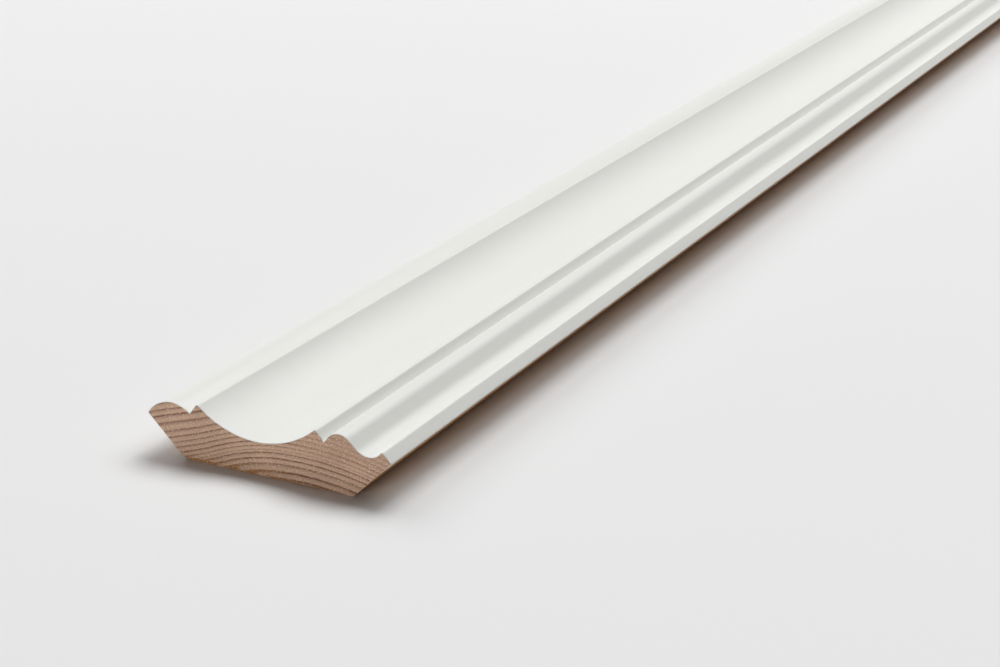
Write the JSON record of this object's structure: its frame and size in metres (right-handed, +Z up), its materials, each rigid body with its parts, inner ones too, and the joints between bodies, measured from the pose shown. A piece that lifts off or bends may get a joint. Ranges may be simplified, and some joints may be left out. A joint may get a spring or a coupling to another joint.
{
  "type": "crown moulding length",
  "caption": "Straight painted crown moulding: a cove between V quirks, a round at one edge, a bead, ogee and lip at the other, and a back bevelled to fit wall and ceiling.",
  "frame": {"origin": "middle of the flat back, on the plane that the length lies on", "axes": "+X across the section from the ceiling edge to the wall edge, +Y along the length, +Z up out of the back through the moulded face"},
  "size_m": [0.095, 1, 0.021],
  "materials": {
    "painted_pine": "planed pine with a sprayed satin white paint on the face and lip",
    "bare_pine": "unfinished pine: sawn end grain, planed back and bevels"
  },
  "bodies": {
    "root": {"crown_moulding": "painted_pine"}
  },
  "joints": []
}
